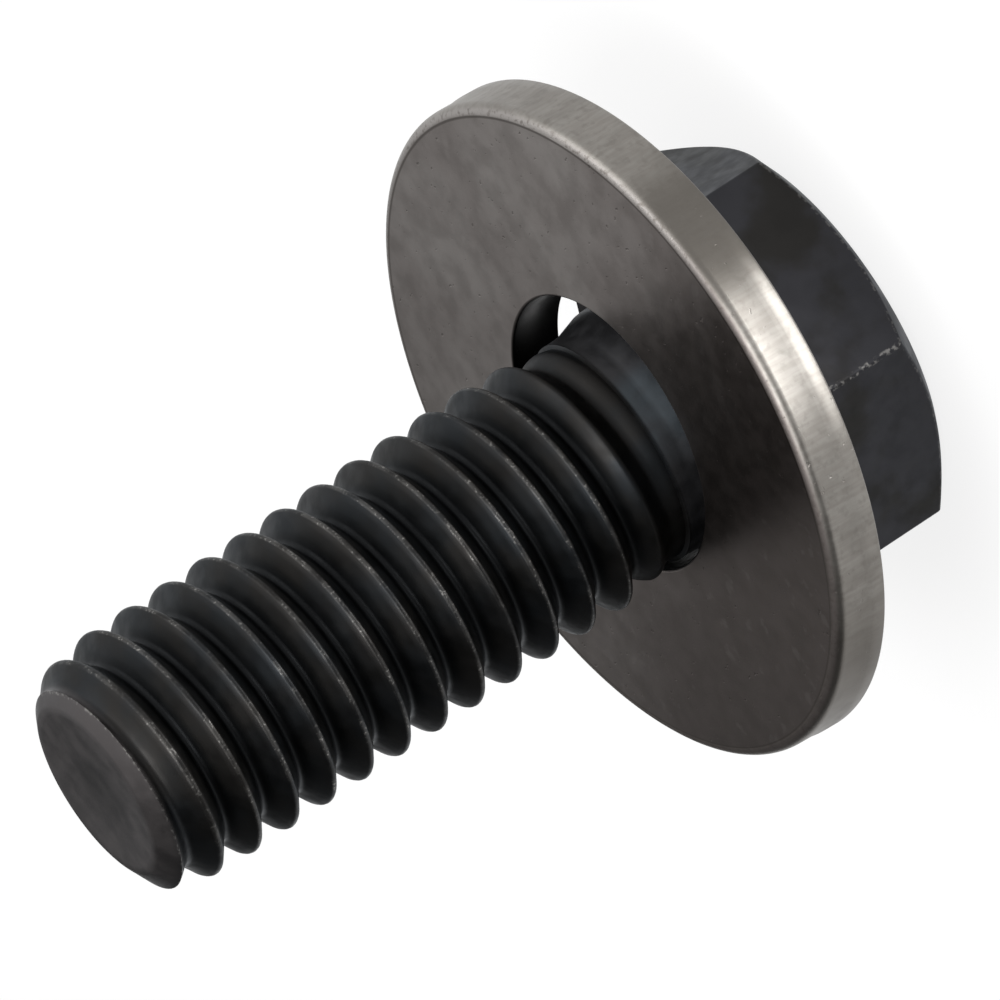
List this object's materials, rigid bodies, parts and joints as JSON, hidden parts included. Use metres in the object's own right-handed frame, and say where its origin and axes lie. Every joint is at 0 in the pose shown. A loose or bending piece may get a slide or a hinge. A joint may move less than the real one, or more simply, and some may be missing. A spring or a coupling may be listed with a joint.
{
  "type": "hex head screw",
  "caption": "Coarse-threaded hex head screw standing on its head, with a thick flat washer loose on its shank.",
  "frame": {"origin": "centre of the flat top of the head, on which the screw stands", "axes": "+Z along the screw's axis from the head to the tip; +X through a corner of the hexagon; two of the wrench flats face +Y and -Y"},
  "size_m": [0.025, 0.0249, 0.0312],
  "materials": {
    "blackened_steel": "black oxide on steel, satin, slightly oily, worn bright on the thread crests and head edges",
    "plain_steel": "bare punched steel, dull grey-brown with a brighter rolled rim"
  },
  "bodies": {
    "root": {"screw": "blackened_steel", "washer": "plain_steel"}
  },
  "joints": []
}
